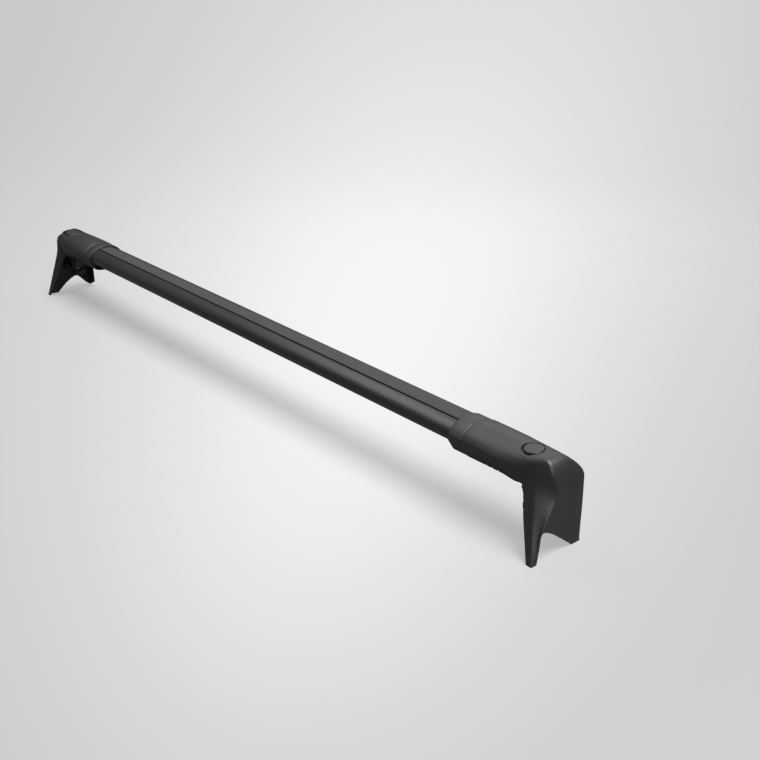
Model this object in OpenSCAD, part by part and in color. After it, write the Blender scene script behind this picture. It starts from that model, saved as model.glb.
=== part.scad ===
// Roof rack crossbar: an extruded bar with a rubber strip on top and a moulded foot at each end.
// X runs along the bar, Z is up, and the tips of the feet stand on Z = 0.
// Each foot hides a bracket bolted into the bar, a clamp claw drawn up by a screw, and a hinged cap.

/* [Bar] */
// Overall length over both feet
overall_l = 1100; // [900:10:1300]
// Width of the extruded bar
bar_w = 54; // [50:1:56]
// Height of the extruded bar
bar_h = 28; // [26:1:30]
// Height of the bar's centre line above the floor
bar_z = 95; // [85:1:110]
// Wall of the extrusion
bar_wall = 2; // [1.6:0.1:2.4]
// How far the bar's end stays behind the foot's outer face
bar_end_gap = 55; // [54:1:60]

/* [Rubber strip] */
// Width of the strip's tread
strip_w = 20; // [16:0.5:22]
// Thickness of the tread
strip_t = 2.2; // [1.6:0.1:3]
// Height of the strip above the bar's crown
strip_proud = 0.3; // [0:0.1:1]
// Mouth of the slot that the strip is pressed into
slot_w = 10; // [8:0.5:12]

/* [Foot cover] */
// Length of the foot from the sleeve's mouth to its outer face
foot_l = 143; // [138:1:170]
// Width of the sleeve at its collar
sleeve_w = 59; // [58:0.5:62]
// Top of the collar above the bar's centre line
sleeve_up = 17.3; // [16.8:0.1:19]
// Underside of the sleeve below the bar's centre line
sleeve_down = 22; // [20:0.5:24]
// Length of the collar ring before the raised body
collar_l = 21; // [16:1:26]
// How far the body stands out behind the collar
body_step = 0.8; // [0.4:0.1:1.2]
// Crown of the foot above the bar's centre line
crown_up = 19.8; // [19:0.2:22]
// Reach of the long prong to the front of the bar's axis
reach_front = 45; // [40:1:50]
// Reach of the short prong to the rear of the bar's axis
reach_rear = 36; // [34:1:40]
// Wall of the moulded leg
leg_wall = 3; // [2.4:0.1:3.6]
// Width of the long prong's tip
tip_front_w = 9; // [7:0.5:12]
// Width of the short prong's tip
tip_rear_w = 13; // [10:0.5:15]
// Thickness of the ribs behind the leg's wall
rib_t = 1.8; // [1.2:0.1:2.4]

/* [Bracket and clamp] */
// Distance of the clamp screw from the foot's outer face
screw_in = 40; // [38:0.5:42]
// Sideways place of the clamp screw
screw_y = -4; // [-5:0.5:-3]
// Diameter of the clamp screw
screw_d = 8; // [6:1:8]
// Half width of the bracket's base
base_half = 12; // [11:0.5:12.5]
// Thickness of the saddle pad
pad_t = 3; // [2:0.5:4]
// Travel of the clamp claw
claw_travel = 8; // [6:0.5:8]
// Height of the claw's lip above the floor at rest
claw_lip_z = 38; // [37:0.5:40]

/* [Cap] */
// Diameter of the round cap
cap_d = 22; // [20:0.5:23]
// Thickness of the cap
cap_t = 3; // [2.4:0.1:3.4]
// Radius of the cap's hinge pin
cap_pin_r = 0.8; // [0.6:0.1:1]

/* [Hidden] */

$fn = 48;
eps = 0.01;
over = 1;
free = 0.25;                              // clearance of fixed pieces
slide_gap = 0.3;                          // clearance of moving pieces

half = overall_l / 2;
centre_y = (reach_front - reach_rear) / 2; // brings the middle of the box to Y = 0
bar_x = half - bar_end_gap;
mouth_x = half - foot_l;
base_z = bar_z - sleeve_down;             // underside of the sleeve
bar_low = bar_z - bar_h / 2;
bar_top = bar_z + bar_h / 2;
crown_z = bar_z + crown_up;
screw_x = half - screw_in;

strip_top = bar_top + strip_proud;
recess_z = strip_top - strip_t;           // floor of the tread's recess
track_z = recess_z - 2;                   // underside of the slot's lips
track_floor = track_z - 5;
track_w = strip_w;
strip_gap = 0.4;
strip_x = mouth_x - 0.5;                  // the strip stops just short of the sleeves, so a load can lie on it

spigot_l = 52;
base_x = bar_x - spigot_l;                // inboard end of the bracket
bolt_r = 3;
bolt_xs = [bar_x - 15, base_x + 14];
sink_free = 0.15;                         // clearance round the bolts' countersunk heads
cover_screw_r = 2;
cover_screw_x = (mouth_x + base_x) / 2;
cover_screw_y = 13;
seal_l = cover_screw_x - mouth_x - cover_screw_r - 1;
head_top = bar_z - 1;                     // top of the bracket's head, under the washer
washer_t = 1.6;
screw_head_h = screw_d;
screw_head_r = screw_d * 0.8;
claw_front = -10;
claw_rear = 8;
claw_back_x = screw_x + 9;
claw_nut_z = claw_lip_z + 14;
claw_nut_h = 12;
screw_end = claw_lip_z + 9.5;
cap_z = crown_z - 1.3 - cap_t;            // underside of the cap
cap_hinge_y = screw_y + cap_d / 2 + 0.6;
cap_hinge_z = cap_z + 0.2;
barrel_r = cap_pin_r + 0.7;
cap_swing = 1;                            // room behind the cap for its edge to swing through
pin_half = 8;
arch_depth = 60;                          // how far in the arch is cut

// Edges of the leg, each a list of [height, distance in from the outer face, sideways place].
// The two feet are mirror images, apart from the rounder top of the left one's outer wall
function front_lip(side) = [[0, 8, -reach_front], [base_z, screw_in - 1, -22], [bar_z + 5, screw_in + 5, -17],
  [crown_z - 1, screw_in + 38, -10]];
function front_edge(side) = [[0, 0, -reach_front], [bar_z + 2, 26, -23], [crown_z - 6, side > 0 ? 25 : 30, -17.5],
  [crown_z - 1, side > 0 ? 22 : 30, -12]];
function crease(side) = [[0, 0, -reach_front + 7], [base_z * 0.5, 0, -30], [base_z * 0.72, 0, -21.5],
  [base_z, 0, -9.4], [bar_z - 12, side > 0 ? 0 : 2, -11], [bar_z + 6, side > 0 ? 3 : 10, -18],
  [crown_z - 1, side > 0 ? 10 : 25, -15]];
function soft_line(side) = [[0, 0, 26], [base_z * 0.25, 0.8, 19], [base_z * 0.73, 0.6, 3],
  [bar_z - 8, side > 0 ? 0 : 2.5, 8], [bar_z + 6, side > 0 ? 1.2 : 9, 0], [crown_z - 1, side > 0 ? 9 : 24, -4]];
function rear_edge(side) = [[0, 0, reach_rear], [bar_z - 8, side > 0 ? 0 : 2.5, reach_rear - 2],
  [bar_z + 5, side > 0 ? 2 : 9, 24], [crown_z - 7, side > 0 ? 3.5 : 15, 15], [crown_z - 1, side > 0 ? 9 : 24, 3]];
function rear_lip(side) = [[0, 20, reach_rear], [base_z, 20, reach_rear], [bar_z - 8, 30, 29], [bar_z + 5, 36, 22],
  [crown_z - 1, screw_in + 38, 7]];
function leg_top(side) = crown_z - (side > 0 ? 7 : 12);
function levels(side) = [0, base_z * 0.25, base_z * 0.5, base_z * 0.72, base_z, bar_z - 12, bar_z - 8, bar_z + 2,
  bar_z + 6, leg_top(side)];

// Openings under the leg, seen along the bar: the two feet have it turned end for end
arch_top = base_z * 0.5;
arch_near = [[-reach_front + tip_front_w, -over], [-reach_front + tip_front_w + 3, arch_top * 0.55],
  [-reach_front + tip_front_w + 4.5, arch_top * 0.9], [-reach_front + tip_front_w + 7, arch_top],
  [-reach_front + tip_front_w + 11, arch_top * 0.97], [-10, arch_top * 0.73], [8, arch_top * 0.32],
  [reach_rear - tip_rear_w - 1, 0], [reach_rear - tip_rear_w, -over]];
arch_far = [[-reach_front + tip_front_w + 10, -over], [-reach_front + tip_front_w + 11, 2], [-11, 13.5],
  [0, 20], [7, 22.7], [11.5, 22.5], [16.4, 18.7], [reach_rear - 7, 4.8], [reach_rear - 6, -over]];

// Joins one half of an oval to the other: the upper and lower halves may differ in height and in squareness
function power(v, n) = sign(v) * pow(abs(v), 2 / n);
function oval(a, up, down, n_up, n_down, z, count) = [for (i = [0 : count - 1])
  let (t = 360 * (i + 0.5) / count, top = sin(t) > 0, n = top ? n_up : n_down)
  [a * power(cos(t), n), z + (top ? up : down) * power(sin(t), n)]];
function bar_oval(grow) = oval(bar_w / 2 + grow, bar_h / 2 + grow, bar_h / 2 + grow, 2, 2.2, bar_z, 60);

function at(edge, z) = [half - lookup(z, [for (p = edge) [p[0], p[1]]]), lookup(z, [for (p = edge) [p[0], p[2]]])];
function leg_ring(side, z) = [for (e = [front_lip(side), front_edge(side), crease(side), soft_line(side),
  rear_edge(side), rear_lip(side)]) at(e, z)];
function lift(ring, z) = [for (p = ring) [p[0], p[1], z]];
function unit(v) = v / norm(v);
function inward(v) = [-v[1], v[0]] / norm(v);
function mitre(a, b, c, t) = let (m = inward(b - a) + inward(c - b)) b + m * (2 * t / (m * m));
function leg_hollow_ring(side, z) = let (r = leg_ring(side, z), t = leg_wall)
  concat([r[0] + inward(r[1] - r[0]) * t - unit(r[1] - r[0]) * foot_l / 3],
    [for (i = [1 : 4]) mitre(r[i - 1], r[i], r[i + 1], t)],
    [r[5] + inward(r[5] - r[4]) * t + unit(r[5] - r[4]) * foot_l / 3]);

// Skin over a stack of rings that all have the same number of points
module loft(rings) {
  n = len(rings[0]);
  m = len(rings);
  sides = [for (k = [0 : m - 2], i = [0 : n - 1]) let (j = (i + 1) % n, b = k * n, t = b + n)
    each [[b + i, t + i, t + j], [b + i, t + j, b + j]]];
  ends = [for (i = [1 : n - 2]) each [[0, i, i + 1], [(m - 1) * n, (m - 1) * n + i + 1, (m - 1) * n + i]]];
  polyhedron([for (r = rings, p = r) p], concat(sides, ends));
}

module along_x(x0, x1) { translate([x0, 0, 0]) rotate([90, 0, 90]) linear_extrude(x1 - x0) children(); }
module across_y(y0, y1) { translate([0, y1, 0]) rotate([90, 0, 0]) linear_extrude(y1 - y0) children(); }
module block(low, high) { translate(low) cube(high - low); }
module placed(side) { translate([0, centre_y, 0]) mirror([side < 0 ? 1 : 0, 0, 0]) children(); }
module rod(x, y, z0, z1, r) { translate([x, y, z0]) cylinder(h = z1 - z0, r = r); }

// One chamber of the extrusion, between two heights and two sideways places
module chamber(y0, y1, z0, z1) {
  intersection() {
    polygon(bar_oval(-bar_wall));
    translate([y0, z0]) square([y1 - y0, z1 - z0]);
  }
}

module bar_section() {
  web = track_w / 2 + bar_wall;
  difference() {
    polygon(bar_oval(0));
    chamber(web, bar_w / 2, bar_low, bar_top);
    chamber(-bar_w / 2, -web, bar_low, bar_top);
    chamber(-web + bar_wall, web - bar_wall, bar_low, track_floor - bar_wall);
    translate([-track_w / 2, track_floor]) square([track_w, track_z - track_floor]);
    translate([-slot_w / 2, track_z - eps]) square([slot_w, bar_h]);
    translate([-strip_w / 2 - strip_gap, recess_z]) square([strip_w + 2 * strip_gap, bar_h]);
  }
}

module crossbar() {
  color([0.055, 0.056, 0.06]) placed(1) difference() {
    along_x(-bar_x, bar_x) bar_section();
    for (side = [-1, 1]) {
      for (x = bolt_xs) rod(side * x, 0, bar_low - over, bar_low + 2 * bar_wall, bolt_r + free);
      for (y = [-cover_screw_y, cover_screw_y])
        rod(side * cover_screw_x, y, bar_low - over, bar_low + 3 * bar_wall, cover_screw_r + 0.05);
    }
  }
}

// The tread lies in the recess, and a stem with two barbs holds it under the slot's lips
module rubber_strip() {
  stem = slot_w / 2 - 0.1;
  barb = stem + 1.6;
  color([0.10, 0.10, 0.10]) placed(1) along_x(-strip_x, strip_x) difference() {
    union() {
      translate([-strip_w / 2, recess_z]) square([strip_w, strip_t]);
      polygon([[-stem, recess_z + eps], [-stem, track_z - 0.2], [-barb, track_z - 0.6], [-stem, track_floor + 0.8],
        [-stem + 1, track_floor], [stem - 1, track_floor], [stem, track_floor + 0.8], [barb, track_z - 0.6],
        [stem, track_z - 0.2], [stem, recess_z + eps]]);
    }
    translate([-stem + 2, track_floor + 1.2]) square([2 * stem - 4, track_z - track_floor - 1.4]);
  }
}

// Section of the sleeve at a distance in from the outer face: half width a, top above the bar's centre line, and
// how far its middle lies to the rear
function sleeve_ring(in, a, top, rear) = let (belt = 2.5)
  [for (p = oval(a, top + belt, sleeve_down - belt, 2, 2.6, bar_z - belt, 40)) [half - in, rear + p[0], p[1]]];

// The sleeve's end runs down into the leg's top, further in on the left foot
module sleeve_body(side) {
  a = sleeve_w / 2;
  crown = crown_up - 1;
  nose = side > 0
    ? [[screw_in - 14, a - 6, crown, -0.5], [screw_in - 26, a - 11, crown, -2], [screw_in - 31, a - 15, crown - 1, -3],
       [screw_in - 33.5, a - 17, crown - 6.8, -3]]
    : [[screw_in - 14, a - 6, crown - 1.5, -0.5], [screw_in - 21, a - 11, crown - 4.3, -2],
       [screw_in - 26, a - 14, crown - 8.3, -3], [screw_in - 28.5, a - 17, crown - 11.6, -3]];
  loft([for (r = concat([
      [foot_l, a - 0.6, sleeve_up - 0.5, 0],
      [foot_l - 1, a, sleeve_up, 0],
      [foot_l - collar_l, a, sleeve_up, 0],
      [foot_l - collar_l - 3, a + body_step, sleeve_up + body_step, 0],
      [screw_in + 30, a + 0.2, sleeve_up + body_step, 0],
      [screw_in + 4, a - 2, crown - 0.3, 0]], nose))
    sleeve_ring(r[0], r[1], r[2], r[3])]);
}

module foot_cover(side) {
  well_r = screw_head_r + 1.4;
  roof = base_z - pad_t;
  color([0.06, 0.06, 0.062]) placed(side) difference() {
    union() {
      difference() {
        union() {
          sleeve_body(side);
          loft([for (z = levels(side)) lift(leg_ring(side, z), z)]);
        }
        loft([for (z = [-over, base_z * 0.25, base_z * 0.5, base_z * 0.72, roof])
          lift(leg_hollow_ring(side, max(z, 0)), z)]);
      }
      leg_ribs(roof);
    }
    // the bar's bore, the seal's seat and the chamber round the bracket's head
    along_x(mouth_x - over, bar_x + free) polygon(bar_oval(free));
    along_x(mouth_x - over, mouth_x + seal_l + 1) polygon(bar_oval(1.2));
    along_x(bar_x, half - 12) polygon([[-base_half - 3, roof - over], [base_half + 3, roof - over],
      [base_half + 3, bar_z], [-base_half - 3, bar_z]]);
    along_x(bar_x, half - 20) polygon([[-base_half - 3, bar_z - over], [base_half + 3, bar_z - over],
      [base_half + 3, bar_z + 2], [base_half - 1, bar_z + 9], [-base_half + 1, bar_z + 9], [-base_half - 3, bar_z + 2]]);
    block([base_x - free, -base_half - free, roof - over], [half - 18, base_half + free, bar_low + free]);
    // the arch, and the raised corner of the short prong's flange
    along_x(half - arch_depth, half + over) polygon(side > 0 ? arch_near : arch_far);
    across_y(reach_rear - 12, reach_rear + over) polygon([[half - 30, -over], [half - 6, -over], [half - 22, 11],
      [half - 30, 11]]);
    // the cap's seat with its finger scoop, the well over the screw's head and the hinge's notch
    for (y = [screw_y, screw_y + cap_swing]) rod(screw_x, y, cap_z, crown_z + 2, cap_d / 2 + 0.4);
    rod(screw_x, screw_y - cap_d / 2 - 1, cap_z - 1.5, crown_z + 2, cap_d / 4);
    rod(screw_x, screw_y, bar_z, crown_z + 2, well_r);
    block([screw_x - 5.4, screw_y + cap_d / 2 - 3, cap_hinge_z - barrel_r - slide_gap],
      [screw_x + 5.4, cap_hinge_y + cap_t + 0.8, crown_z + 2]);
    translate([screw_x - pin_half - 0.2, cap_hinge_y, cap_hinge_z]) rotate([0, 90, 0])
      cylinder(h = 2 * pin_half + 0.4, r = cap_pin_r + 0.05);
    // the screws that hold the cover to the bar
    for (y = [-cover_screw_y, cover_screw_y]) {
      rod(cover_screw_x, y, base_z - over, base_z + 4, 2 * cover_screw_r + free);
      rod(cover_screw_x, y, base_z, bar_low + 2 * bar_wall, cover_screw_r + free);
    }
  }
}

// Upright ribs that stiffen the outer wall from inside
module leg_ribs(roof) {
  for (y = [-8, 4, 16]) block([half - 11, y - rib_t / 2, arch_top + 3], [half - 2, y + rib_t / 2, roof + over]);
  block([half - 11, -12, base_z * 0.62], [half - 2, 28, base_z * 0.62 + rib_t]);
}

// Rubber lip between the sleeve's mouth and the bar
module collar_seal(side) {
  color([0.03, 0.03, 0.03]) placed(side) along_x(mouth_x + 0.6, mouth_x + seal_l) difference() {
    polygon(bar_oval(1));
    polygon(bar_oval(0));
  }
}

// Cast bracket: a base under the bar, a spigot inside it and a head that carries the clamp screw
module foot_bracket(side) {
  head_x = bar_x + 0.6;
  spigot_half = track_w / 2 - 2 * free;
  color([0.42, 0.43, 0.45]) placed(side) difference() {
    union() {
      block([base_x, -base_half, base_z], [half - 20, base_half, bar_low]);
      along_x(base_x, head_x + 1) intersection() {
        polygon(bar_oval(-bar_wall - free));
        translate([-spigot_half, bar_low]) square([2 * spigot_half, track_floor - bar_wall - free - bar_low]);
      }
      block([head_x, -base_half - 1.2, base_z], [half - 20, base_half + 1.2, head_top]);
      for (y = [[claw_front - 3.3, claw_front - slide_gap], [claw_rear + slide_gap, claw_rear + 3.3]])
        block([screw_x - 3, y[0], base_z - claw_travel - 12], [screw_x + 8, y[1], base_z + 2]);
    }
    rod(screw_x, screw_y, base_z - over, head_top + over, screw_d / 2 + slide_gap);
    for (x = bolt_xs) {
      rod(x, 0, base_z - over, bar_z, bolt_r + 0.05);
      translate([x, 0, base_z - eps]) cylinder(h = bolt_r, r1 = 2 * bolt_r + sink_free, r2 = bolt_r + sink_free);
    }
  }
}

module saddle_pad(side) {
  color([0.04, 0.04, 0.04]) placed(side) difference() {
    block([base_x, -base_half, base_z - pad_t], [screw_x - 8, base_half, base_z]);
    for (x = [base_x + 8 : 9 : screw_x - 16])
      across_y(-base_half - over, base_half + over) translate([x, base_z - pad_t]) circle(r = 1);
  }
}

// Countersunk bolts up through the base and the bar's floor into the spigot
module bar_bolts(side) {
  color([0.55, 0.56, 0.58]) placed(side) for (x = bolt_xs) difference() {
    union() {
      rod(x, 0, base_z + 0.05, bar_low + bar_wall + 7, bolt_r);
      translate([x, 0, base_z + 0.05]) cylinder(h = bolt_r, r1 = 2 * bolt_r, r2 = bolt_r);
    }
    translate([x, 0, base_z - over]) cylinder(h = over + 2.2, r = bolt_r * 0.75, $fn = 6);
  }
}

module cover_screws(side) {
  color([0.2, 0.2, 0.2]) placed(side) for (y = [-cover_screw_y, cover_screw_y]) difference() {
    union() {
      rod(cover_screw_x, y, base_z + 1.2, base_z + 4, 2 * cover_screw_r);
      rod(cover_screw_x, y, base_z + 2, bar_low + 2 * bar_wall, cover_screw_r);
    }
    rod(cover_screw_x, y, base_z, base_z + 2.6, 1);
  }
}

// Clamp screw with a socket head, standing on its washer
module clamp_screw(side) {
  z = head_top + washer_t;
  color([0.6, 0.61, 0.63]) placed(side) difference() {
    union() {
      rod(screw_x, screw_y, screw_end, z + eps, screw_d / 2);
      rod(screw_x, screw_y, z, z + screw_head_h, screw_head_r);
    }
    translate([screw_x, screw_y, z + screw_head_h / 2]) cylinder(h = screw_head_h, r = screw_d * 0.43, $fn = 6);
  }
}

module screw_washer(side) {
  color([0.66, 0.67, 0.69]) placed(side) difference() {
    rod(screw_x, screw_y, head_top, head_top + washer_t, screw_d);
    rod(screw_x, screw_y, head_top - over, head_top + over + washer_t, screw_d / 2 + slide_gap);
  }
}

// J-shaped claw: a nut block on the screw, a back and a lip that hooks under the roof rail
module clamp_claw(side) {
  front_x = screw_x - 5.5;
  color([0.3, 0.31, 0.33]) placed(side) difference() {
    across_y(claw_front, claw_rear) polygon([[front_x, claw_nut_z], [claw_back_x - 4, claw_nut_z],
      [claw_back_x - 4, claw_lip_z + 6], [front_x + 2, claw_lip_z + 6], [front_x, claw_lip_z + 8],
      [front_x, claw_lip_z + 1.5], [front_x + 1.5, claw_lip_z], [claw_back_x - 3, claw_lip_z],
      [claw_back_x, claw_lip_z + 3], [claw_back_x, claw_nut_z + claw_nut_h], [front_x, claw_nut_z + claw_nut_h]]);
    rod(screw_x, screw_y, claw_lip_z + 7, claw_nut_z + claw_nut_h + over, screw_d / 2 + 0.05);
  }
}

// Rubber facing on the inboard side of the claw's lip
module claw_pad(side) {
  front_x = screw_x - 5.5;
  color([0.04, 0.04, 0.04]) placed(side) block([front_x - 1.5, claw_front + 2, claw_lip_z + 1.5],
    [front_x, claw_rear - 2, claw_lip_z + 7.5]);
}

// Round cap over the screw's head, hinged at the rear
module screw_cap(side) {
  color([0.05, 0.05, 0.052]) placed(side) difference() {
    union() {
      translate([screw_x, screw_y, 0]) rotate_extrude() polygon([[0, cap_z + free], [cap_d / 2 - 0.8, cap_z + free],
        [cap_d / 2, cap_z + 1], [cap_d / 2, cap_z + cap_t - 0.6], [cap_d / 2 - 1.2, cap_z + cap_t], [0, cap_z + cap_t + 0.3]]);
      translate([screw_x - 4, cap_hinge_y, cap_hinge_z]) rotate([0, 90, 0]) cylinder(h = 8, r = barrel_r);
      block([screw_x - 4, cap_hinge_y - 2.4, cap_hinge_z + 0.05], [screw_x + 4, cap_hinge_y, cap_hinge_z + barrel_r]);
    }
    translate([screw_x - 5, cap_hinge_y, cap_hinge_z]) rotate([0, 90, 0]) cylinder(h = 10, r = cap_pin_r + 0.05);
  }
}

module cap_pin(side) {
  color([0.6, 0.6, 0.62]) placed(side) translate([screw_x - pin_half, cap_hinge_y, cap_hinge_z]) rotate([0, 90, 0])
    cylinder(h = 2 * pin_half, r = cap_pin_r);
}

crossbar();
rubber_strip();
foot_cover(1);  // foot_cover_r
foot_cover(-1);  // foot_cover_l
collar_seal(1);  // collar_seal_r
collar_seal(-1);  // collar_seal_l
foot_bracket(1);  // foot_bracket_r
foot_bracket(-1);  // foot_bracket_l
saddle_pad(1);  // saddle_pad_r
saddle_pad(-1);  // saddle_pad_l
bar_bolts(1);  // bar_bolts_r
bar_bolts(-1);  // bar_bolts_l
cover_screws(1);  // cover_screws_r
cover_screws(-1);  // cover_screws_l
clamp_screw(1);  // clamp_screw_r
clamp_screw(-1);  // clamp_screw_l
screw_washer(1);  // screw_washer_r
screw_washer(-1);  // screw_washer_l
clamp_claw(1);  // clamp_claw_r
clamp_claw(-1);  // clamp_claw_l
claw_pad(1);  // claw_pad_r
claw_pad(-1);  // claw_pad_l
screw_cap(1);  // screw_cap_r
screw_cap(-1);  // screw_cap_l
cap_pin(1);  // cap_pin_r
cap_pin(-1);  // cap_pin_l
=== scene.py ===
"""Looks of the roof rack crossbar: its skins and finishes, and the studio that they are seen in."""

import math

import bmesh
import bpy
import numpy as np
from bpy.props import FloatProperty, FloatVectorProperty, PointerProperty
from mathutils import Matrix, Vector
from mathutils.bvhtree import BVHTree


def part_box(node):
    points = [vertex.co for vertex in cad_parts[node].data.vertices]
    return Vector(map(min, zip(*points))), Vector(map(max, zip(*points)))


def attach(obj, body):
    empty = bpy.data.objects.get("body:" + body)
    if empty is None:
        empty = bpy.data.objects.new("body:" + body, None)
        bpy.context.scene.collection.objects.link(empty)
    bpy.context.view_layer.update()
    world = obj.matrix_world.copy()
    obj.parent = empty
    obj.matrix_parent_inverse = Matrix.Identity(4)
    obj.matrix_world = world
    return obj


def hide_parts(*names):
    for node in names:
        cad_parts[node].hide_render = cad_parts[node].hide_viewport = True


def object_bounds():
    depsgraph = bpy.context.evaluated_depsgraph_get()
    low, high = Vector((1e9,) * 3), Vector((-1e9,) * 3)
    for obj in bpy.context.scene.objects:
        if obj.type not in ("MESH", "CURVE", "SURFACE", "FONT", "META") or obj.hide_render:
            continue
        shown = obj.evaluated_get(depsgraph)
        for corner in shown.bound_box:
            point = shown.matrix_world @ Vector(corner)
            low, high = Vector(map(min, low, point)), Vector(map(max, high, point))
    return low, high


bl_info = {
    "name": "Roof rack crossbar looks",
    "version": (1, 0, 0),
    "blender": (4, 5, 0),
    "location": "View3D > Sidebar > Crossbar",
    "description": "Skins, finishes and studio for a roof rack crossbar",
    "category": "Object",
}

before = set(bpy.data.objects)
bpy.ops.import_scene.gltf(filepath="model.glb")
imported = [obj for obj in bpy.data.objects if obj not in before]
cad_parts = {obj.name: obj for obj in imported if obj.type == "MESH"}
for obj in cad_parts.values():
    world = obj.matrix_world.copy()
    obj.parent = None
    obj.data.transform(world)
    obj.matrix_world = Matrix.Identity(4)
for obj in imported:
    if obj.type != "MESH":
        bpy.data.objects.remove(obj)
CAD_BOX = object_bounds()
MM = 0.001


def middle(name):
    """Middle of a node's box."""
    return tuple((low + high) / 2 for low, high in zip(*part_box(name)))


# Places read from the solids
HALF = CAD_BOX[1][0]
BAR_LOW, BAR_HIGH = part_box("crossbar")
STRIP_LOW, STRIP_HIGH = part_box("rubber_strip")
AXIS_Y = (BAR_LOW.y + BAR_HIGH.y) / 2
MOUTH_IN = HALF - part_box("foot_cover_r")[0].x
BRACKET_LOW, BRACKET_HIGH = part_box("foot_bracket_r")
SLEEVE_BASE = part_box("saddle_pad_r")[1].z
CAP_LOW, CAP_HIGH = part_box("screw_cap_r")
CAP_RADIUS = (CAP_HIGH.x - CAP_LOW.x) / 2
SCREW_X, SCREW_Y = middle("clamp_screw_r")[:2]
PIN_Y, PIN_Z = middle("cap_pin_r")[1:]
BAR_HEIGHT = 28 * MM
BAR_Z = BAR_LOW.z + BAR_HEIGHT / 2
SIDES = ((1, "r"), (-1, "l"))
RING_STEPS = 96  # points round a turned piece


# Properties

class CrossbarSizes(bpy.types.PropertyGroup):
    """Sizes that only the looks need."""

    cover_wall: FloatProperty(
        name="Cover wall", description="Thickness of the foot covers", default=2.6 * MM, unit="LENGTH")
    recess_gap: FloatProperty(
        name="Groove", description="Gap on each side of the rubber strip", default=1.0 * MM, unit="LENGTH")
    cap_gap: FloatProperty(
        name="Cap scoop", description="Gap at the front of the cap", default=3.2 * MM, unit="LENGTH")
    thread_pitch: FloatProperty(
        name="Thread pitch", description="Pitch of the clamp screw", default=1.25 * MM, unit="LENGTH")
    pad_ridge: FloatProperty(
        name="Pad ridge", description="Spacing of the saddle pads' ridges", default=3.0 * MM, unit="LENGTH")


class CrossbarColours(bpy.types.PropertyGroup):
    """Colours of the finishes and the floor."""

    plastic: FloatVectorProperty(
        name="Cover plastic", description="Foot covers", subtype="COLOR", default=(0.0105, 0.0105, 0.011))
    cap: FloatVectorProperty(
        name="Cap plastic", description="Round caps", subtype="COLOR", default=(0.0105, 0.0105, 0.011))
    bar: FloatVectorProperty(
        name="Bar", description="Satin black anodising", subtype="COLOR", default=(0.0165, 0.0165, 0.017))
    strip: FloatVectorProperty(
        name="Strip", description="Matt rubber tread", subtype="COLOR", default=(0.0165, 0.0165, 0.016))
    rubber: FloatVectorProperty(
        name="Seal and pads", description="Black rubber", subtype="COLOR", default=(0.012, 0.012, 0.012))
    floor: FloatVectorProperty(
        name="Floor", description="Tint of the studio floor", subtype="COLOR", default=(1.0, 1.0, 1.0))


def sizes():
    return bpy.context.scene.crossbar_sizes


def colours():
    return bpy.context.scene.crossbar_colours


# Nodes and materials

def node(tree, kind, inputs=None, **settings):
    """A new node. Each input is set to a value or linked to another node's output."""
    made = tree.nodes.new(kind)
    for name, value in settings.items():
        setattr(made, name, value)
    for key, value in (inputs or {}).items():
        if isinstance(value, bpy.types.NodeSocket):
            tree.links.new(value, made.inputs[key])
        else:
            made.inputs[key].default_value = value
    return made


def new_material(name):
    mat = bpy.data.materials.new(name)
    mat.use_nodes = True
    mat.node_tree.nodes.clear()
    return mat, mat.node_tree


def object_noise(tree, scale, detail=3.0, stretch=(1, 1, 1), roughness=0.5):
    """Noise on Object coordinates, in grains to the metre, stretched along the axes."""
    where = node(tree, "ShaderNodeTexCoord")
    mapping = node(tree, "ShaderNodeMapping", {"Vector": where.outputs["Object"], "Scale": stretch})
    return node(tree, "ShaderNodeTexNoise", {
        "Vector": mapping.outputs["Vector"], "Scale": scale, "Detail": detail,
        "Roughness": roughness}).outputs["Fac"]


def ranged(tree, value, low, high, from_low=0.3, from_high=0.7):
    return node(tree, "ShaderNodeMapRange", {
        "Value": value, "From Min": from_low, "From Max": from_high, "To Min": low,
        "To Max": high}).outputs["Result"]


def shaded(tree, colour, value, spread):
    """The colour, darker and lighter by spread as the value goes from 0 to 1."""
    dark, pale = (tuple(c * k for c in colour) + (1,) for k in (1 - spread, 1 + spread))
    return node(tree, "ShaderNodeMix", {0: value, 6: dark, 7: pale}, data_type="RGBA").outputs[2]


def finish(name, colour, tint, gloss, bumps, metallic=0.0, specular=0.5, **noises):
    """A material on the named noises, each (scale, detail, stretch, roughness). tint is (noise, spread) and
    perhaps its range, gloss is (noise, low, high) and a bump is (noise, strength, distance)."""
    mat, tree = new_material(name)
    made = {key: object_noise(tree, *values) for key, values in noises.items()}
    normal = {}
    for key, strength, distance in bumps:
        bump = node(tree, "ShaderNodeBump", {
            "Height": made[key], "Strength": strength, "Distance": distance, **normal})
        normal = {"Normal": bump.outputs["Normal"]}
    shade, spread, *span = tint
    sheen, low, high = gloss
    shader = node(tree, "ShaderNodeBsdfPrincipled", {
        "Base Color": shaded(tree, colour, ranged(tree, made[shade], 0, 1, *span), spread),
        "Roughness": ranged(tree, made[sheen], low, high),
        "Metallic": metallic, "Specular IOR Level": specular, **normal})
    node(tree, "ShaderNodeOutputMaterial", {"Surface": shader.outputs["BSDF"]})
    return mat


def moulded_plastic(name, colour, rough=0.48, grain=0.16):
    """Black plastic from a spark-eroded mould: a fine grain, with faint clouding in colour and gloss."""
    return finish(name, colour, ("cloud", 0.10), ("cloud", rough - 0.03, rough + 0.04),
                  [("fine", grain, 0.00012), ("cloud", 0.04, 0.0006)], specular=0.42,
                  fine=(1300, 2.0), cloud=(28, 4.0))


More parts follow.
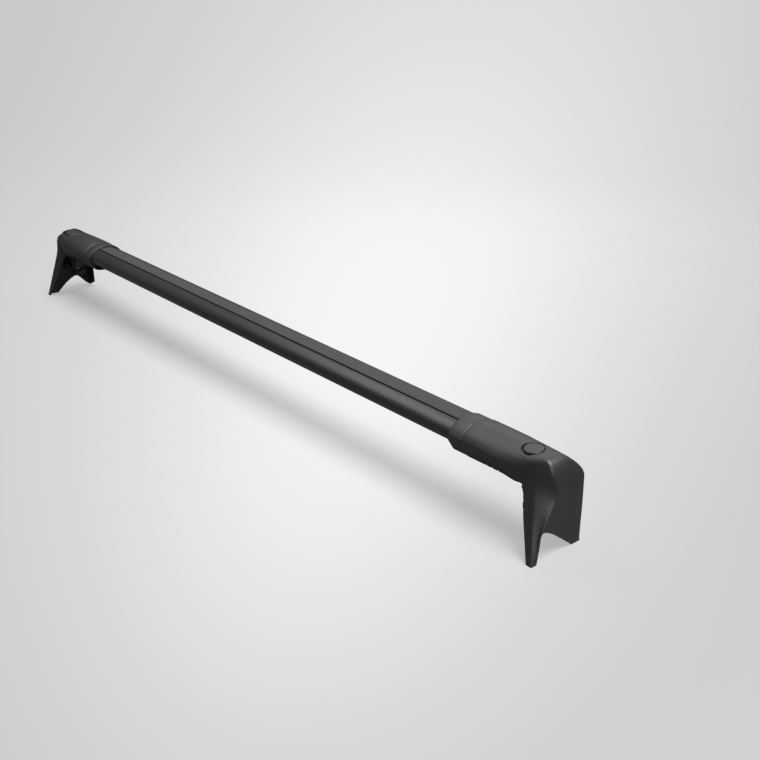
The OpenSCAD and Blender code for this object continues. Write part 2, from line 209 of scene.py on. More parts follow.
def anodised_bar(name, colour):
    """Satin black anodising over an extrusion: die lines along the bar and a soft metallic sheen."""
    return finish(name, colour, ("cloud", 0.08), ("lines", 0.34, 0.42),
                  [("lines", 0.10, 0.00008), ("speck", 0.05, 0.00005)], metallic=0.35,
                  lines=(900, 2.0, (0.006, 1, 1)), speck=(1500, 1.0), cloud=(14, 3.0, (0.25, 1, 1)))


def tread_rubber(name, colour):
    """Matt rubber with the pale specks of a filled compound."""
    return finish(name, colour, ("speck", 0.42, 0.36, 0.66), ("patch", 0.74, 0.90),
                  [("speck", 0.55, 0.00030)], specular=0.35,
                  speck=(620, 4.0, (1, 1, 1), 0.7), patch=(40, 3.0, (0.3, 1, 1)))


def plain_rubber(name, colour):
    """Black rubber with a fine bloom."""
    return finish(name, colour, ("cloud", 0.2), ("cloud", 0.6, 0.75), [("fine", 0.2, 0.0001)],
                  fine=(1500, 2.0), cloud=(60,))


def cast_metal(name, colour):
    """Tumbled die casting: pebbled skin with duller hollows."""
    return finish(name, colour, ("cloud", 0.15), ("cloud", 0.42, 0.6), [("pebble", 0.3, 0.0002)],
                  metallic=0.9, pebble=(700, 4.0), cloud=(50,))


def plated_steel(name, colour):
    """Zinc plating: fine turning marks and a faint bloom."""
    return finish(name, colour, ("bloom", 0.12), ("bloom", 0.27, 0.42), [("rings", 0.12, 0.00006)],
                  metallic=1.0, rings=(1600, 2.0, (0.1, 0.1, 1)), bloom=(120,))


def coated_steel(name, colour):
    """Black powder coat with its orange peel. On the claws the black is painted shade."""
    return finish(name, colour, ("cloud", 0.12), ("cloud", 0.38, 0.5), [("peel", 0.2, 0.00025)],
                  peel=(500, 2.0), cloud=(60,))


FAN_TURN = math.radians(41.9)  # turns the fan's middle line to the back of the studio
FAN_REACH = 1.56  # from the fan's point to the brightest point, in metres
FAN_NEAREST = 0.12  # least distance from the fan's point, in metres
FAN_ACROSS = 1.95  # how fast the floor darkens across the fan
FAN_ALONG = 0.50  # and along it
FLOOR_CENTRE = (-0.010, 0.239)  # the floor's brightest point, in metres
# Painted light falloff: the floor's colour at each distance out in the fan from its brightest point
FLOOR_LEVELS = ((0.0, 0.960), (0.10, 0.950), (0.22, 0.910), (0.36, 0.835), (0.47, 0.780), (0.60, 0.725),
                (0.85, 0.660), (1.0, 0.640))
FLOOR_GLOW = 0.55  # share of the floor's brightness that no shadow darkens
FLOOR_ALBEDO = 0.128


def math_node(tree, operation, first, second=0.0):
    return node(tree, "ShaderNodeMath", {0: first, 1: second}, operation=operation).outputs[0]


def studio_floor(name, colour):
    """Pale studio floor with a painted light falloff: its colour darkens in a fan round its brightest point,
    as a sweep lit from above does.
    """
    mat, tree = new_material(name)
    where = node(tree, "ShaderNodeTexCoord")
    shift = node(tree, "ShaderNodeMapping", {
        "Vector": where.outputs["Object"], "Location": FLOOR_CENTRE + (0,), "Rotation": (0, 0, FAN_TURN)},
        vector_type="TEXTURE")
    parts = node(tree, "ShaderNodeSeparateXYZ", {"Vector": shift.outputs["Vector"]})
    reach = math_node(tree, "ADD", parts.outputs["Y"], FAN_REACH)
    reach = math_node(tree, "MAXIMUM", reach, FAN_NEAREST)
    squares = []
    for way, factor in (("X", FAN_ACROSS), ("Y", FAN_ALONG)):
        run = math_node(tree, "MULTIPLY", math_node(tree, "DIVIDE", parts.outputs[way], reach), factor)
        squares.append(math_node(tree, "POWER", run, 2.0))
    out = math_node(tree, "SQRT", math_node(tree, "ADD", *squares))
    # the colour ramp that paints the light falloff into the floor
    ramp = node(tree, "ShaderNodeValToRGB", {"Fac": out})
    elements = ramp.color_ramp.elements
    for i, (place, level) in enumerate(FLOOR_LEVELS):
        element = elements[i] if i < 2 else elements.new(place)
        element.position = place
        element.color = tuple(c * level for c in colour) + (1,)
    paint = ramp.outputs["Color"]
    dim = node(tree, "ShaderNodeMix", {0: 1.0, 6: paint, 7: (FLOOR_ALBEDO,) * 3 + (1,)},
               data_type="RGBA", blend_type="MULTIPLY")
    seen = node(tree, "ShaderNodeLightPath")
    glow = math_node(tree, "MULTIPLY", seen.outputs["Is Camera Ray"], FLOOR_GLOW)
    shader = node(tree, "ShaderNodeBsdfPrincipled", {
        "Base Color": dim.outputs[2], "Emission Color": paint, "Emission Strength": glow,
        "Roughness": 0.9, "Specular IOR Level": 0.0})
    node(tree, "ShaderNodeOutputMaterial", {"Surface": shader.outputs["BSDF"]})
    return mat


# Mesh helpers

SMOOTH_ANGLE = 35  # degrees; edges that turn by more are sharp


def placed(name, data):
    """A new object in the scene."""
    obj = bpy.data.objects.new(name, data)
    bpy.context.scene.collection.objects.link(obj)
    return obj


def mesh_object(name, verts, faces, material, smooth_angle=SMOOTH_ANGLE):
    mesh = bpy.data.meshes.new(name)
    mesh.from_pydata(verts, [], faces)
    return finish_object(name, mesh, material, smooth_angle)


def finish_object(name, mesh, material, smooth_angle):
    mesh.validate()
    mesh.materials.clear()
    mesh.materials.append(material)
    set_smooth(mesh, smooth_angle)
    return placed(name, mesh)


def set_smooth(mesh, angle):
    """Smooth shading, with the edges that turn by more than the angle kept sharp."""
    bm = bmesh.new()
    bm.from_mesh(mesh)
    for face in bm.faces:
        face.smooth = True
        face.material_index = 0
    for edge in bm.edges:
        turned = len(edge.link_faces) == 2 and edge.calc_face_angle(0) > math.radians(angle)
        edge.smooth = not turned
    bm.to_mesh(mesh)
    bm.free()


def outward(mesh):
    """Merges doubles and turns every face outwards."""
    bm = bmesh.new()
    bm.from_mesh(mesh)
    bmesh.ops.remove_doubles(bm, verts=bm.verts, dist=1e-6)
    bmesh.ops.recalc_face_normals(bm, faces=bm.faces)
    bm.to_mesh(mesh)
    bm.free()


def baked(obj):
    """Turns an object's modifiers into a plain mesh."""
    deps = bpy.context.evaluated_depsgraph_get()
    mesh = bpy.data.meshes.new_from_object(obj.evaluated_get(deps))
    obj.modifiers.clear()
    old = obj.data
    obj.data = mesh
    bpy.data.meshes.remove(old)


def joined(name, parts, material, smooth_angle):
    """One object from several (verts, faces) shells."""
    verts, faces = [], []
    for part_verts, part_faces in parts:
        base = len(verts)
        verts += part_verts
        faces += [tuple(base + i for i in f) for f in part_faces]
    return mesh_object(name, verts, faces, material, smooth_angle)


def as_shell(obj):
    return [tuple(v.co) for v in obj.data.vertices], [tuple(p.vertices) for p in obj.data.polygons]


def lathe(profile, centre, steps=RING_STEPS):
    """Spins (radius, height) points about the vertical line through the centre. The profile is a loop, or
    starts and ends on the axis."""
    verts, faces, rings = [], [], []
    for r, z in profile:
        if r == 0:
            rings.append([len(verts)])
            verts.append((centre[0], centre[1], z))
        else:
            rings.append(list(range(len(verts), len(verts) + steps)))
            for k in range(steps):
                a = 2 * math.pi * k / steps
                verts.append((centre[0] + r * math.cos(a), centre[1] + r * math.sin(a), z))
    if profile[0][0] > 0:
        rings.append(rings[0])
    for low, high in zip(rings, rings[1:]):
        for k in range(steps):
            j = (k + 1) % steps
            if len(low) == 1:
                faces.append((low[0], high[k], high[j]))
            elif len(high) == 1:
                faces.append((low[k], low[j], high[0]))
            else:
                faces.append((low[k], low[j], high[j], high[k]))
    return verts, faces


def rounded_block(low, high, radius):
    """A box with rounded edges, as (verts, faces)."""
    bm = bmesh.new()
    bmesh.ops.create_cube(bm, size=1.0)
    size = [h - l for l, h in zip(low, high)]
    for v in bm.verts:
        v.co = Vector([low[i] + (v.co[i] + 0.5) * size[i] for i in range(3)])
    bmesh.ops.bevel(bm, geom=list(bm.edges), offset=radius, segments=2, profile=0.5, affect="EDGES")
    verts = [tuple(v.co) for v in bm.verts]
    faces = [tuple(v.index for v in f.verts) for f in bm.faces]
    bm.free()
    return verts, faces


def extruded(name, loops, x0, x1, material, smooth_angle):
    """A section of closed (y, z) loops, the outer one first and then its holes, run along X."""
    curve = bpy.data.curves.new(name + "_section", "CURVE")
    curve.dimensions = "2D"
    curve.fill_mode = "BOTH"
    curve.extrude = (x1 - x0) / 2
    for loop in loops:
        line = curve.splines.new("POLY")
        line.points.add(len(loop) - 1)
        for point, (y, z) in zip(line.points, loop):
            point.co = (y, z, 0, 1)
        line.use_cyclic_u = True
    temp = placed(name + "_section", curve)
    deps = bpy.context.evaluated_depsgraph_get()
    mesh = bpy.data.meshes.new_from_object(temp.evaluated_get(deps))
    bpy.data.objects.remove(temp)
    bpy.data.curves.remove(curve)
    mesh.transform(Matrix(((0, 0, 1, (x0 + x1) / 2), (1, 0, 0, 0), (0, 1, 0, 0), (0, 0, 0, 1))))
    outward(mesh)
    return finish_object(name, mesh, material, smooth_angle)


def rounded_loop(points, radius, steps):
    """A closed (y, z) outline with its corners turned to arcs of about the radius."""
    out = []
    points = np.array(points, float)
    for p, a, b in zip(points, np.roll(points, 1, 0), np.roll(points, -1, 0)):
        start, end = (p + (q - p) * min(radius / np.linalg.norm(q - p), 0.45) for q in (a, b))
        for k in range(steps + 1):
            t = k / steps
            out.append(tuple((1 - t) ** 2 * start + 2 * t * (1 - t) * p + t * t * end))
    return out


def opposite(points):
    """The (y, z) points on the other side of the middle, in the opposite order."""
    return [(-y, z) for y, z in reversed(points)]


def power(value, n):
    return math.copysign(abs(value) ** (2 / n), value)


def oval_point(angle, a, up, down, z, n_up=2.0, n_down=2.6):
    """Point of an oval whose upper and lower halves differ, at an angle from the rear."""
    s, c = math.sin(angle), math.cos(angle)
    upper = s > 0
    n = n_up if upper else n_down
    return a * power(c, n), z + (up if upper else down) * power(s, n)


# The bar and its strip

TREAD_DEPTH = 2.2 * MM  # from the strip's top to the floor of its recess
LIP_DEPTH = 2.0 * MM  # thickness of the lips over the slot
TRACK_DEPTH = 5.0 * MM  # height of the slot under them


def bar_outline(grow, count=160):
    half_w = (BAR_HIGH.y - BAR_LOW.y) / 2 + grow
    half_h = BAR_HEIGHT / 2 + grow
    angles = [2 * math.pi * (i + 0.5) / count for i in range(count)]
    oval = [oval_point(angle, half_w, half_h, half_h, BAR_Z, 2.0, 2.2) for angle in angles]
    return [(AXIS_Y + y, z) for y, z in oval]


class CROSSBAR_OT_bar(bpy.types.Operator):
    """Extrude the bar: a smooth oval with two lips, the slot under them and three chambers"""

    bl_idname = "crossbar.bar"
    bl_label = "Bar"

    def execute(self, context):
        strip_half = (STRIP_HIGH.y - STRIP_LOW.y) / 2
        recess = strip_half - 0.4 * MM + sizes().recess_gap
        floor_z = STRIP_HIGH.z - TREAD_DEPTH
        lip_z = floor_z - LIP_DEPTH
        track_z = lip_z - TRACK_DEPTH
        slot = 5.0 * MM
        track = 10.0 * MM
        wall = 2.0 * MM
        lip_round = 0.35 * MM
        side_middle = 18 * MM
        outer = [p for p in bar_outline(0) if p[1] <= BAR_Z or abs(p[0] - AXIS_Y) >= recess + lip_round]
        right = [p for p in outer if p[0] > AXIS_Y and p[1] > BAR_Z]
        left = [p for p in outer if p[0] < AXIS_Y and p[1] > BAR_Z]
        below = [p for p in outer if p[1] <= BAR_Z]
        lip_top = max(p[1] for p in outer)
        half = [(recess + 0.01 * MM, lip_top), (recess, floor_z), (slot, floor_z), (slot, lip_z),
                (track, lip_z), (track, track_z)]
        notch = rounded_loop(half + opposite(half), lip_round, 3)
        loop = right + [(AXIS_Y + y, z) for y, z in notch] + left + below
        inner = bar_outline(-wall, 96)
        web = track + wall
        roof = [(AXIS_Y + track, track_z - wall), (AXIS_Y - track, track_z - wall)]
        chambers = [([p for p in inner if p[0] - AXIS_Y >= web], side_middle),
                    ([p for p in inner if p[0] - AXIS_Y <= -web], -side_middle),
                    ([p for p in inner if abs(p[0] - AXIS_Y) <= track and p[1] < BAR_Z] + roof, 0)]
        for ring, centre in chambers:
            ring.sort(key=lambda p: math.atan2(p[1] - BAR_Z, p[0] - AXIS_Y - centre))
        obj = extruded("bar_extrusion", [loop] + [ring for ring, _ in chambers], BAR_LOW.x, BAR_HIGH.x,
                       anodised_bar("satin_black_bar", colours().bar), 30)
        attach(obj, "frame")
        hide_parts("crossbar")
        return {"FINISHED"}


class CROSSBAR_OT_strip(bpy.types.Operator):
    """Lay the rubber strip in its recess: a slightly crowned tread with a stem and two barbs"""

    bl_idname = "crossbar.strip"
    bl_label = "Rubber strip"

    def execute(self, context):
        half_w = (STRIP_HIGH.y - STRIP_LOW.y) / 2 - sizes().recess_gap * 0.6
        top = STRIP_HIGH.z
        low = top - TREAD_DEPTH
        stem = 4.9 * MM
        bore = 2.9 * MM
        barb = stem + 1.6 * MM
        lip = low - LIP_DEPTH
        foot = lip - TRACK_DEPTH
        crown = 0.15 * MM
        tread = [(half_w, low), (half_w, top - crown), (half_w * 0.5, top - crown * 0.25)]
        hook = [(stem - MM, foot), (stem, foot + 0.8 * MM), (barb, lip - 0.6 * MM), (stem, lip - 0.2 * MM),
                (stem, low)]
        section = tread + [(0, top)] + opposite(tread) + opposite(hook) + hook
        low_z, high_z = foot + 1.2 * MM, lip - 0.2 * MM
        hole = [(-bore, low_z), (bore, low_z), (bore, high_z), (-bore, high_z)]
        loops = [rounded_loop(section, 0.3 * MM, 3), rounded_loop(hole, 0.8 * MM, 4)]
        loops = [[(AXIS_Y + y, z) for y, z in loop] for loop in loops]
        obj = extruded("rubber_tread", loops, STRIP_LOW.x, STRIP_HIGH.x,
                       tread_rubber("speckled_tread", colours().strip), 40)
        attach(obj, "frame")
        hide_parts("rubber_strip")
        return {"FINISHED"}


# The foot covers

def foot_columns(side):
    """Lines along the sleeve, over the shoulder and down the leg, from the front lip to the rear one.
    Each has its angle on the sleeve, its points over the shoulder, its rim point at the top of the leg and
    its points down the leg, as (in from the outer face, sideways, height) in millimetres."""

    def top(dx, y, z, far_dx, far_z):
        return (dx, y, z) if side > 0 else (far_dx, y, far_z)

    return [
        (234, [(52, -21.5, 73.4)], (39, -22, 73), [(26, -31.5, 43), (8, -44.5, 0)]),
        (178, [(46, -27.5, 94)], top(26, -23, 97, 27, 95), [(13, -34, 48.5), (0.4, -44.7, 0)]),
        (150, [(46, -24, 105), (30, -22, 107)], top(17, -19.5, 107, 22, 103),
         [(12, -21.5, 94), (10, -20, 80), (7.5, -25, 58), (4, -33, 30), (0.3, -41, 0)]),
        (122, [(50, -15.5, 111), (25, -15, 113.2)], top(11, -15.2, 113, 24, 110),
         [top(4.5, -17.5, 105, 9, 101), top(0.8, -12.5, 88, 2.5, 87), (0.2, -9.4, 73), (0.2, -21.5, 53),
          (0.2, -31, 35), (0.2, -37.5, 0)]),
        (106, [(50, -8, 112.6), (22, -8, 113.5)], top(9.5, -8, 113.2, 23, 110.5),
         [top(3, -9, 105, 8, 101), top(0.6, -4, 88, 2, 87), (0.6, -1, 73), (0.8, -12, 53), (1.0, -23, 30),
          (1.0, -32, 0)]),
        (90, [(50, 0, 113), (22, 0, 113.6)], top(8.5, -1, 113.2, 22, 110.5),
         [top(2.5, 0, 105, 8, 101), top(0.5, 4, 88, 2, 87), (0.8, 6, 73), (1.0, 0, 53), (1.2, -9, 28),
          (1.2, -20, 0)]),
        (74, [(50, 7.8, 112.5), (20, 7, 113)], top(7, 6, 112.4, 21, 110),
         [top(2.2, 9, 104, 7.5, 100), top(0.4, 12, 87, 2, 87), (0.6, 14, 73), (0.9, 11, 53), (1.2, 5, 28),
          (1.2, 0, 0)]),
        (58, [(50, 15.3, 109.8), (20, 13, 110.5)], top(5, 12, 109.5, 19, 107.5),
         [top(1.8, 18, 100, 7, 98), top(0.2, 21, 86, 2, 86), (0.2, 22, 72), (0.5, 21, 52), (0.7, 19, 26),
          (0.7, 18, 0)]),
        (38, [(50, 22.8, 104.5), (20, 20, 104.8)], top(3.5, 18.5, 104.5, 15, 103.5),
         [top(1, 26, 95, 5, 94), (0.2, 29.5, 82), (0.2, 30, 68), (0.2, 29.5, 45), (0.2, 28.5, 22),
          (0.2, 28, 0)]),
        (10, [(50, 28.3, 96), (26, 27, 97)], top(6, 27, 96, 12, 95),
         [(0.4, 33.4, 87), (0.2, 34.8, 70), (0.2, 35.7, 45), (0.2, 35.7, 22), (0.2, 35.7, 0)]),
        (-14, [(52, 28.6, 86), (34, 29, 85)], (20, 31, 82),
         [(13, 34.5, 74), (11, 35.7, 60), (10, 35.7, 40), (10, 35.7, 20), (10, 35.7, 0)]),
        (-46, [(54, 22.5, 75), (42, 23.5, 73.6)], (31, 28, 72.5),
         [(22, 34.5, 64), (20, 35.7, 50), (20, 35.7, 34), (20, 35.7, 20), (20, 35.7, 0)]),
    ]


FIRST_ANGLE, LAST_ANGLE = 234, -46
CREASES = {1: 1.0, 3: 0.85, 9: 0.9, 0: 1.0, 11: 1.0}  # column number and how sharp it is down the leg
GROOVE_SHARE = 0.859  # the groove behind the collar, as a share of the foot's length
BODY_SHARE = 0.84  # where the sleeve widens
SLEEVE_INS = (1.0, 0.990, 0.93, 0.866, GROOVE_SHARE, 0.852, 0.825, 0.72, 0.60, 0.53)  # where it has a ring
ELBOW_ROWS = 26
LEG_ROWS = 44
COLUMN_STEPS = 7
SPLINE_STEPS = 24
UNDER_STEPS = 14  # quads across the sleeve's underside

# Half width and top over the bar's middle of the sleeve's sections, in millimetres
GROOVE_SIZE = (29.0, 16.9)
COLLAR_SIZE = (29.5, 17.3)
BODY_SIZE = (30.2, 18.1)
MOUTH_EASE = 0.6  # how much the mouth's rim is smaller
BELT_DROP = 2.5  # widest line of the sleeve, under the bar's middle
WINDOW_PLAY = 0.4  # gap round the bracket, in the sleeve's underside
TOP_START, TOP_END = 100, 113  # heights between which the skin is lowered, up to the sink
TOP_SINK = 0.35
SOFT_SHARE = 0.7  # share of the foot's length whose creases are rounded
SOFT_ROUNDS = 6


def spline(points, counts):
    """Points along a centripetal spline. counts has each stretch as (number of given points, steps)."""
    p = np.array(points, float)
    ext = np.vstack([2 * p[0] - p[1], p, 2 * p[-1] - p[-2]])
    dense, marks = [], [0]
    for i in range(1, len(ext) - 2):
        p0, p1, p2, p3 = ext[i - 1:i + 3]
        t = [0.0]
        for a, b in ((p0, p1), (p1, p2), (p2, p3)):
            t.append(t[-1] + max(np.linalg.norm(b - a), 1e-6) ** 0.5)
        u = np.linspace(t[1], t[2], SPLINE_STEPS + 1)[:, None]

        def blend(i, j, p, q):
            return (t[j] - u) / (t[j] - t[i]) * p + (u - t[i]) / (t[j] - t[i]) * q

        inner = blend(1, 2, p1, p2)
        first, last = blend(0, 2, blend(0, 1, p0, p1), inner), blend(1, 3, inner, blend(2, 3, p2, p3))
        dense += list(blend(1, 2, first, last)[:-1])
        marks.append(len(dense))
    dense.append(p[-1])
    dense = np.array(dense)
    out, start = [dense[0]], 0
    for given, steps in counts:
        stretch = dense[marks[start]:marks[start + given] + 1]
        run = np.concatenate([[0], np.cumsum(np.linalg.norm(np.diff(stretch, axis=0), axis=1))])
        for s in np.linspace(0, run[-1], steps + 1)[1:]:
            out.append([np.interp(s, run, stretch[:, k]) for k in range(3)])
        start += given
    return np.array(out)


def sleeve_size(share):
    """Half width and top of the sleeve's section at a share of the foot's length, in millimetres."""
    if share == GROOVE_SHARE:
        return GROOVE_SIZE
    half, top = COLLAR_SIZE if share > BODY_SHARE else BODY_SIZE
    edge = MOUTH_EASE if share == 1.0 else 0.0
    return half - edge, top - edge


def sleeve_at(share, degrees):
    """Point of the sleeve at a share of the foot's length and an angle from the rear."""
    half, up = sleeve_size(share)
    belt = BAR_Z / MM - BELT_DROP
    y, z = oval_point(math.radians(degrees), half, up + BELT_DROP, belt - SLEEVE_BASE / MM, belt)
    return (share * MOUTH_IN / MM, y, z)


def column_grid(side):
    """Rows of the cover's outer skin, as [row][column] points in millimetres from the outer face."""
    lines = []
    for degrees, way, rim, leg in foot_columns(side):
        tube = [sleeve_at(share, degrees) for share in SLEEVE_INS]
        counts = [(1, 1), (len(way) + 1, ELBOW_ROWS), (len(leg), LEG_ROWS)]
        bend = spline([tube[-2], tube[-1]] + way + [rim] + leg, counts)
        lines.append(np.vstack([np.array(tube), bend[2:]]))
    return np.array(lines).transpose(1, 0, 2)


def across(row, sharp):
    """Points across one row of columns, a smooth curve that is straightened next to the sharp columns."""
    n = len(row)
    out = []
    for i in range(n - 1):
        p0, p1 = row[i], row[i + 1]
        chord = p1 - p0
        m0 = (row[i + 1] - row[i - 1]) / 2 if i > 0 else chord
        m1 = (row[i + 2] - row[i]) / 2 if i + 2 < n else chord
        m0 = m0 + (chord - m0) * sharp[i]
        m1 = m1 + (chord - m1) * sharp[i + 1]
        for k in range(COLUMN_STEPS):
            t = k / COLUMN_STEPS
            h = (2 * t**3 - 3 * t**2 + 1, t**3 - 2 * t**2 + t, -2 * t**3 + 3 * t**2, t**3 - t**2)
            out.append(h[0] * p0 + h[1] * m0 + h[2] * p1 + h[3] * m1)
    out.append(row[-1])
    return out


def cover_skin(side):
    """The foot cover's outer skin as one sheet: sleeve, shoulder and leg, and the sleeve's underside."""
    grid = column_grid(side)
    rows, columns = grid.shape[:2]
    tube_rows = len(SLEEVE_INS)
    window_y = BRACKET_HIGH.y / MM - AXIS_Y / MM + WINDOW_PLAY
    verts, index = [], []
    for r in range(rows):
        down = min(max((r - tube_rows) / ELBOW_ROWS, 0.0), 1.0)
        sharp = [CREASES.get(c, 0.0) * down**2 for c in range(columns)]
        line = across(grid[r], sharp)
        index.append(list(range(len(verts), len(verts) + len(line))))
        verts += line
    faces = [(a[c], a[c + 1], b[c + 1], b[c]) for a, b in zip(index, index[1:]) for c in range(len(a) - 1)]
    # Underside of the sleeve, between its two lips, open where the bracket and the pad come through
    bottom_rows = tube_rows + ELBOW_ROWS
    window_in = (HALF - BRACKET_LOW.x) / MM + WINDOW_PLAY
    under_angles = np.linspace(LAST_ANGLE, FIRST_ANGLE - 360, UNDER_STEPS + 1)[1:-1]
    last_under = len(under_angles) - 1
    under = []
    for r in range(bottom_rows):
        a, b = verts[index[r][-1]], verts[index[r][0]]
        share = SLEEVE_INS[min(r, tube_rows - 1)]
        flat = min(max((r - tube_rows + 1) / ELBOW_ROWS, 0.0), 1.0)
        first, last = np.array(sleeve_at(share, LAST_ANGLE)), np.array(sleeve_at(share, FIRST_ANGLE))
        inner = []
        for k, degrees in enumerate(under_angles):
            t = (k + 1) / UNDER_STEPS
            bulge = np.array(sleeve_at(share, degrees)) - (first + (last - first) * t)
            inner.append(len(verts))
            point = a + (b - a) * t + bulge * (1 - flat)
            if k in (1, last_under - 1) and point[0] < window_in + 1:
                point[1] = window_y if k == 1 else -window_y
            verts.append(point)
        under.append([index[r][-1]] + inner + [index[r][0]])
    for a, b in zip(under, under[1:]):
        for c in range(len(a) - 1):
            quad = (a[c], a[c + 1], b[c + 1], b[c])
            inward = sum(verts[i][0] for i in quad) / 4
            if inward >= window_in or not 2 <= c < last_under:
                faces.append(quad)
    skin = []
    for dx, y, z in verts:
        sunk = z - TOP_SINK * max(z - TOP_START, 0) / (TOP_END - TOP_START)
        skin.append((side * (HALF - dx * MM), AXIS_Y + y * MM, sunk * MM))
    return skin, faces


def softened(mesh):
    """Rounds the creases of the shoulder and leg by easing each inner point towards its neighbours."""
    bm = bmesh.new()
    bm.from_mesh(mesh)
    inner = [v for v in bm.verts if not v.is_boundary and HALF - abs(v.co.x) < SOFT_SHARE * MOUTH_IN]
    for _ in range(SOFT_ROUNDS):
        bmesh.ops.smooth_vert(bm, verts=inner, factor=0.5, use_axis_x=True, use_axis_y=True, use_axis_z=True)
    bm.to_mesh(mesh)
    bm.free()


def outer_skin(side, material):
    """The cover's outer surface as an object, with its creases rounded and its normals outward."""
    skin = mesh_object("foot_shell", *cover_skin(side), material)
    outward(skin.data)
    top = max(skin.data.polygons, key=lambda p: p.center.z)
    if top.normal.z < 0:
        skin.data.flip_normals()
    softened(skin.data)
    return skin


def height_on(tree, x, y):
    """Height of the skin over a point."""
    return tree.ray_cast(Vector((x, y, CAD_BOX[1][2] + 0.1)), Vector((0, 0, -1)))[0].z


# Half width of the notch that the cap's barrel and heel turn in, and how far it runs past the pin
NOTCH_HALF = {1: 5.2 * MM, -1: 6.6 * MM}
NOTCH_REAR = {1: 2.4 * MM, -1: 3.3 * MM}
NOTCH_LOW = CAP_LOW.z - 0.3 * MM
NOTCH_FRONT = 8 * MM  # behind the screw's middle
WELL_RADIUS = 7.8 * MM  # hole in the pocket's floor, over the screw's head
POCKET_FLOOR = CAP_LOW.z - 0.5 * MM
POCKET_WALL = 2.2 * MM


def cap_pocket(side, skin, radius, centre):
    """Wall and floor of the cap's pocket, whose rim follows the skin."""
    tree = BVHTree.FromPolygons(*skin)
    out, under, rim = radius + POCKET_WALL, POCKET_FLOOR - POCKET_WALL, POCKET_FLOOR + POCKET_WALL
    profile = [(WELL_RADIUS, POCKET_FLOOR), (radius, POCKET_FLOOR), (radius, rim), (out, rim), (out, under),
               (WELL_RADIUS, under)]
    verts, faces = lathe(profile, centre)
    for i, (x, y, z) in enumerate(verts):
        if z == rim:
            z = max(height_on(tree, x, y) - 0.35 * MM, POCKET_FLOOR + 0.3 * MM)
            if abs(x - centre[0]) < NOTCH_HALF[side] and y > centre[1]:
                z = NOTCH_LOW
            verts[i] = (x, y, z)
    return verts, faces


# Outlines of the arches in the outer walls, as (sideways from the bar's axis, height) in millimetres
ARCHES = {
    1: [(-36, -20), (-36, 0), (-33, 20), (-31.5, 32.9), (-29, 36.2), (-25, 35.2), (-18, 31.6), (-10, 26.4),
        (8, 11.7), (22, 0), (22, -20)],
    -1: [(-26, -20), (-25.5, 0), (-24.8, 1.6), (-11, 13.5), (0, 20), (7, 22.7), (11.5, 22.5), (16.4, 18.7),
         (25, 9), (29, 4.8), (34.5, 0.6), (35.6, 0), (37, -20)],
}


def between(front, back):
    """Closed shell between two like outlines."""
    n = len(front)
    faces = [tuple(range(n)), tuple(range(2 * n - 1, n - 1, -1))]
    faces += [(i, (i + 1) % n, n + (i + 1) % n, n + i) for i in range(n)]
    return front + back, faces


def arch_cut(side):
    """Shell that cuts the arch through the outer wall."""
    outline = rounded_loop(ARCHES[side], 2.5, 4)
    ends = (side * (HALF - 70 * MM), side * (HALF + 10 * MM))
    return between(*([(x, AXIS_Y + y * MM, z * MM) for y, z in outline] for x in ends))


def flange_cut(side):
    """Shell that takes the lower rear corner off the short prong's flange."""
    outline = [(-60, -10), (15, -10), (-1, 0), (-20, 9.5), (-60, 11)]
    shell = between(*([(HALF + x * MM, AXIS_Y + y * MM, z * MM) for x, z in outline] for y in (25, 50)))
    return shell if side > 0 else mirrored(shell)


def mirrored(shell):
    verts, faces = shell
    return [(-x, y, z) for x, y, z in verts], [tuple(reversed(f)) for f in faces]


def carved(obj, shell, material):
    """Takes a closed shell out of the object."""
    cutter = mesh_object("cutter", *shell, material)
    outward(cutter.data)
    cut = obj.modifiers.new("cut", "BOOLEAN")
    cut.operation = "DIFFERENCE"
    cut.solver = "EXACT"
    cut.object = cutter
    baked(obj)
    bpy.data.objects.remove(cutter)
    bm = bmesh.new()
    bm.from_mesh(obj.data)
    bmesh.ops.triangulate(bm, faces=[f for f in bm.faces if len(f.verts) > 4])
    bm.to_mesh(obj.data)
    bm.free()


def leg_ribs(side):
    """Ribs that stiffen the outer wall from behind, and the web under the shoulder."""
    half = 0.9
    blocks = [((-11, y - half, 39.5), (-2, y + half, 71)) for y in (-8, 4, 16)]
    blocks += [((-10, -12, 45.3), (-2, 28, 47.1)), ((-18, -6, 70.2), (-2.5, 30, 72.8))]
    shells = []
    for block in blocks:
        low, high = ((HALF + x * MM, AXIS_Y + y * MM, z * MM) for x, y, z in block)
        shell = rounded_block(low, high, 0.5 * MM)
        shells.append(shell if side > 0 else mirrored(shell))
    return shells


